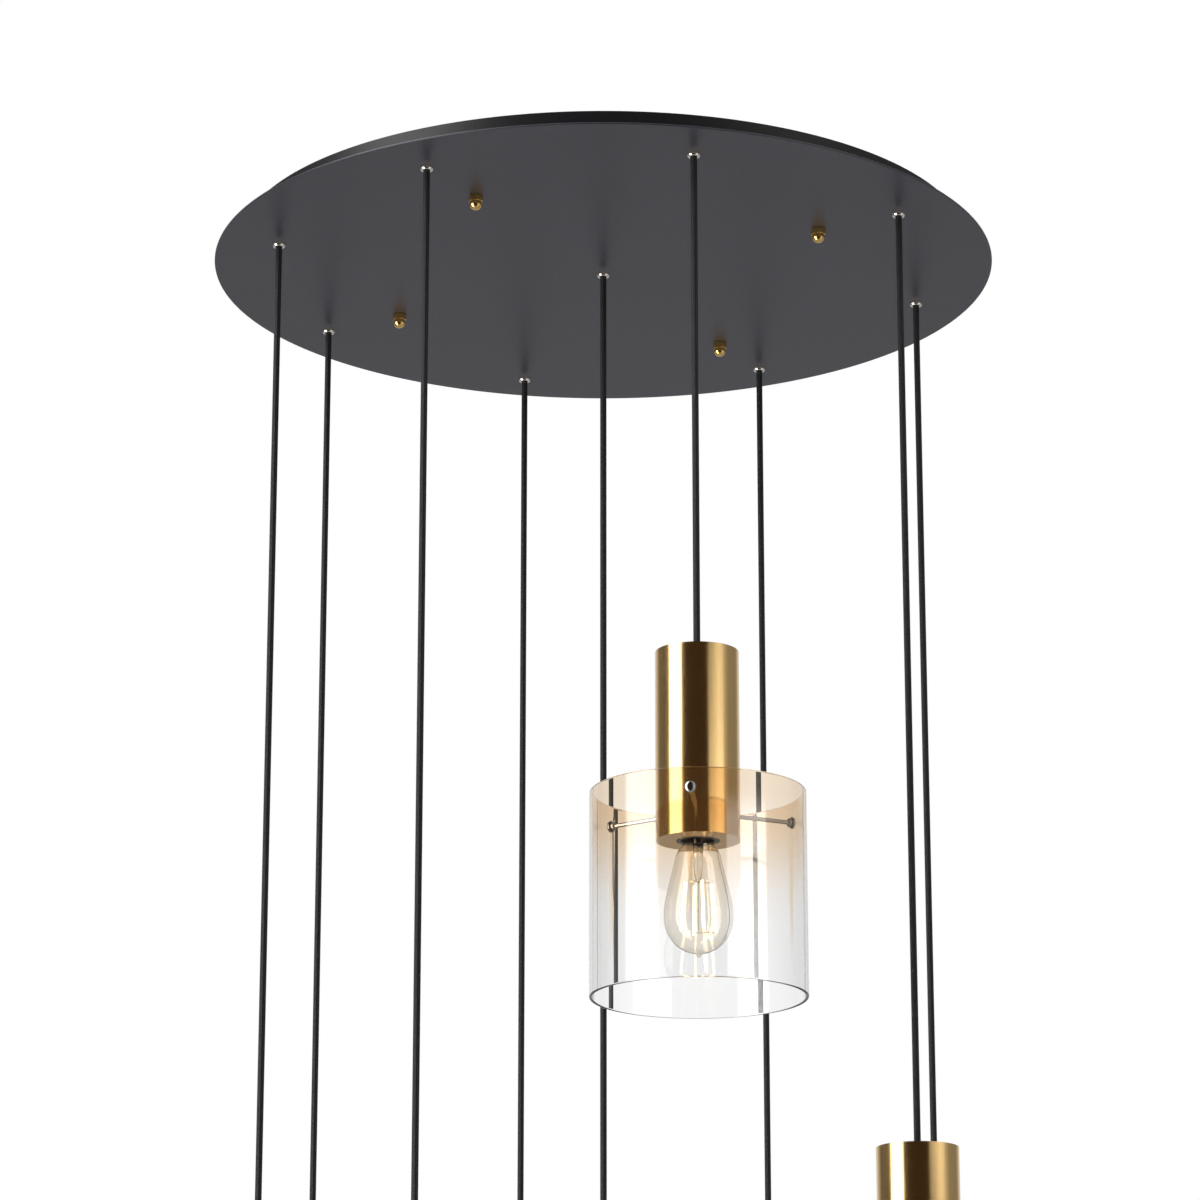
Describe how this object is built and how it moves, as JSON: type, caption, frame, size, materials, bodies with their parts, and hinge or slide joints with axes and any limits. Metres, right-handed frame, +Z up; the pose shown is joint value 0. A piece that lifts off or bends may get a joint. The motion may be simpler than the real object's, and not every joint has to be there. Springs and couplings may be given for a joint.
{
  "type": "cluster pendant",
  "caption": "Ceiling cluster pendant: a round flat dark canopy with a ring of straight cords and one in the middle, each holding a brass sleeve, a tube of tinted glass and a filament bulb.",
  "frame": {"origin": "middle of the ceiling bracket's upper side, on the ceiling plane", "axes": "+Z up into the ceiling; pendant 1, the highest, hangs towards -Y; pendants 2 to 8 follow towards +X round the ring and 9 is in the middle"},
  "size_m": [0.8846, 0.8816, 1.89],
  "materials": {
    "graphite_paint": "satin dark grey powder coat",
    "zinc_steel": "zinc-plated steel",
    "cream_plastic": "matt moulded plastic",
    "polished_brass": "polished brass",
    "bright_nickel": "bright nickel plate",
    "black_textile": "braided textile sleeving",
    "satin_brass": "brushed satin brass",
    "black_phenolic": "moulded phenolic",
    "clear_glass": "clear blown glass",
    "amber_glass": "clear glass with an amber tint that fades downwards",
    "chrome": "chrome plate"
  },
  "bodies": {
    "canopy": {"canopy_face": "graphite_paint", "canopy_hoop": "graphite_paint", "ceiling_bracket": "zinc_steel", "terminal_block": "cream_plastic", "acorn_nuts": "polished_brass", "cord_glands": "bright_nickel"},
    "hanging_cord_1": {"cord_1": "black_textile"},
    "pendant_1": {"sleeve_1": "satin_brass", "lampholder_1": "black_phenolic", "glass_shade_1": "amber_glass", "shade_arms_1": "chrome"},
    "lamp_1": {"bulb_1": "clear_glass"},
    "hanging_cord_2": {"cord_2": "black_textile"},
    "pendant_2": {"sleeve_2": "satin_brass", "lampholder_2": "black_phenolic", "glass_shade_2": "amber_glass", "shade_arms_2": "chrome"},
    "lamp_2": {"bulb_2": "clear_glass"},
    "hanging_cord_3": {"cord_3": "black_textile"},
    "pendant_3": {"sleeve_3": "satin_brass", "lampholder_3": "black_phenolic", "glass_shade_3": "amber_glass", "shade_arms_3": "chrome"},
    "lamp_3": {"bulb_3": "clear_glass"},
    "hanging_cord_4": {"cord_4": "black_textile"},
    "pendant_4": {"sleeve_4": "satin_brass", "lampholder_4": "black_phenolic", "glass_shade_4": "amber_glass", "shade_arms_4": "chrome"},
    "lamp_4": {"bulb_4": "clear_glass"},
    "hanging_cord_5": {"cord_5": "black_textile"},
    "pendant_5": {"sleeve_5": "satin_brass", "lampholder_5": "black_phenolic", "glass_shade_5": "amber_glass", "shade_arms_5": "chrome"},
    "lamp_5": {"bulb_5": "clear_glass"},
    "hanging_cord_6": {"cord_6": "black_textile"},
    "pendant_6": {"sleeve_6": "satin_brass", "lampholder_6": "black_phenolic", "glass_shade_6": "amber_glass", "shade_arms_6": "chrome"},
    "lamp_6": {"bulb_6": "clear_glass"},
    "hanging_cord_7": {"cord_7": "black_textile"},
    "pendant_7": {"sleeve_7": "satin_brass", "lampholder_7": "black_phenolic", "glass_shade_7": "amber_glass", "shade_arms_7": "chrome"},
    "lamp_7": {"bulb_7": "clear_glass"},
    "hanging_cord_8": {"cord_8": "black_textile"},
    "pendant_8": {"sleeve_8": "satin_brass", "lampholder_8": "black_phenolic", "glass_shade_8": "amber_glass", "shade_arms_8": "chrome"},
    "lamp_8": {"bulb_8": "clear_glass"},
    "hanging_cord_9": {"cord_9": "black_textile"},
    "pendant_9": {"sleeve_9": "satin_brass", "lampholder_9": "black_phenolic", "glass_shade_9": "amber_glass", "shade_arms_9": "chrome"},
    "lamp_9": {"bulb_9": "clear_glass"}
  },
  "joints": [
    {"name": "swing_1", "type": "hinge", "parent": "canopy", "child": "hanging_cord_1", "pos_m": [0, -0.34, -0.025], "axis": [1, 0, 0], "range_deg": [-2, 2]},
    {"name": "height_1", "type": "slide", "parent": "hanging_cord_1", "child": "pendant_1", "axis": [0, 0, 1], "range_m": [0, 0.249], "deforming": ["cord_1"]},
    {"name": "bulb_turn_1", "type": "hinge", "parent": "pendant_1", "child": "lamp_1", "pos_m": [0, -0.34, -0.703], "axis": [0, 0, -1], "range_deg": [0, 360]},
    {"name": "swing_2", "type": "hinge", "parent": "canopy", "child": "hanging_cord_2", "pos_m": [0.24042, -0.24042, -0.025], "axis": [-0.7071, -0.7071, 0], "range_deg": [-2, 2]},
    {"name": "height_2", "type": "slide", "parent": "hanging_cord_2", "child": "pendant_2", "axis": [0, 0, 1], "range_m": [0, 0.686], "deforming": ["cord_2"]},
    {"name": "bulb_turn_2", "type": "hinge", "parent": "pendant_2", "child": "lamp_2", "pos_m": [0.24042, -0.24042, -1.14], "axis": [0, 0, -1], "range_deg": [0, 360]},
    {"name": "swing_3", "type": "hinge", "parent": "canopy", "child": "hanging_cord_3", "pos_m": [0.34, 0, -0.025], "axis": [0, 1, 0], "range_deg": [-2, 2]},
    {"name": "height_3", "type": "slide", "parent": "hanging_cord_3", "child": "pendant_3", "axis": [0, 0, 1], "range_m": [0, 0.81], "deforming": ["cord_3"]},
    {"name": "bulb_turn_3", "type": "hinge", "parent": "pendant_3", "child": "lamp_3", "pos_m": [0.34, 0, -1.264], "axis": [0, 0, -1], "range_deg": [0, 360]},
    {"name": "swing_4", "type": "hinge", "parent": "canopy", "child": "hanging_cord_4", "pos_m": [0.24042, 0.24042, -0.025], "axis": [0.7071, -0.7071, 0], "range_deg": [-2, 2]},
    {"name": "height_4", "type": "slide", "parent": "hanging_cord_4", "child": "pendant_4", "axis": [0, 0, 1], "range_m": [0, 0.89], "deforming": ["cord_4"]},
    {"name": "bulb_turn_4", "type": "hinge", "parent": "pendant_4", "child": "lamp_4", "pos_m": [0.24042, 0.24042, -1.344], "axis": [0, 0, -1], "range_deg": [0, 360]},
    {"name": "swing_5", "type": "hinge", "parent": "canopy", "child": "hanging_cord_5", "pos_m": [0, 0.34, -0.025], "axis": [-1, 0, 0], "range_deg": [-2, 2]},
    {"name": "height_5", "type": "slide", "parent": "hanging_cord_5", "child": "pendant_5", "axis": [0, 0, 1], "range_m": [0, 0.97], "deforming": ["cord_5"]},
    {"name": "bulb_turn_5", "type": "hinge", "parent": "pendant_5", "child": "lamp_5", "pos_m": [0, 0.34, -1.424], "axis": [0, 0, -1], "range_deg": [0, 360]},
    {"name": "swing_6", "type": "hinge", "parent": "canopy", "child": "hanging_cord_6", "pos_m": [-0.24042, 0.24042, -0.025], "axis": [0.7071, 0.7071, 0], "range_deg": [-2, 2]},
    {"name": "height_6", "type": "slide", "parent": "hanging_cord_6", "child": "pendant_6", "axis": [0, 0, 1], "range_m": [0, 1.05], "deforming": ["cord_6"]},
    {"name": "bulb_turn_6", "type": "hinge", "parent": "pendant_6", "child": "lamp_6", "pos_m": [-0.24042, 0.24042, -1.504], "axis": [0, 0, -1], "range_deg": [0, 360]},
    {"name": "swing_7", "type": "hinge", "parent": "canopy", "child": "hanging_cord_7", "pos_m": [-0.34, 0, -0.025], "axis": [0, -1, 0], "range_deg": [-2, 2]},
    {"name": "height_7", "type": "slide", "parent": "hanging_cord_7", "child": "pendant_7", "axis": [0, 0, 1], "range_m": [0, 1.13], "deforming": ["cord_7"]},
    {"name": "bulb_turn_7", "type": "hinge", "parent": "pendant_7", "child": "lamp_7", "pos_m": [-0.34, 0, -1.584], "axis": [0, 0, -1], "range_deg": [0, 360]},
    {"name": "swing_8", "type": "hinge", "parent": "canopy", "child": "hanging_cord_8", "pos_m": [-0.24042, -0.24042, -0.025], "axis": [-0.7071, 0.7071, 0], "range_deg": [-2, 2]},
    {"name": "height_8", "type": "slide", "parent": "hanging_cord_8", "child": "pendant_8", "axis": [0, 0, 1], "range_m": [0, 1.21], "deforming": ["cord_8"]},
    {"name": "bulb_turn_8", "type": "hinge", "parent": "pendant_8", "child": "lamp_8", "pos_m": [-0.24042, -0.24042, -1.664], "axis": [0, 0, -1], "range_deg": [0, 360]},
    {"name": "swing_9", "type": "hinge", "parent": "canopy", "child": "hanging_cord_9", "pos_m": [0, 0, -0.025], "axis": [0.7071, 0.7071, 0], "range_deg": [-2, 2]},
    {"name": "height_9", "type": "slide", "parent": "hanging_cord_9", "child": "pendant_9", "axis": [0, 0, 1], "range_m": [0, 1.29], "deforming": ["cord_9"]},
    {"name": "bulb_turn_9", "type": "hinge", "parent": "pendant_9", "child": "lamp_9", "pos_m": [0, 0, -1.744], "axis": [0, 0, -1], "range_deg": [0, 360]}
  ]
}
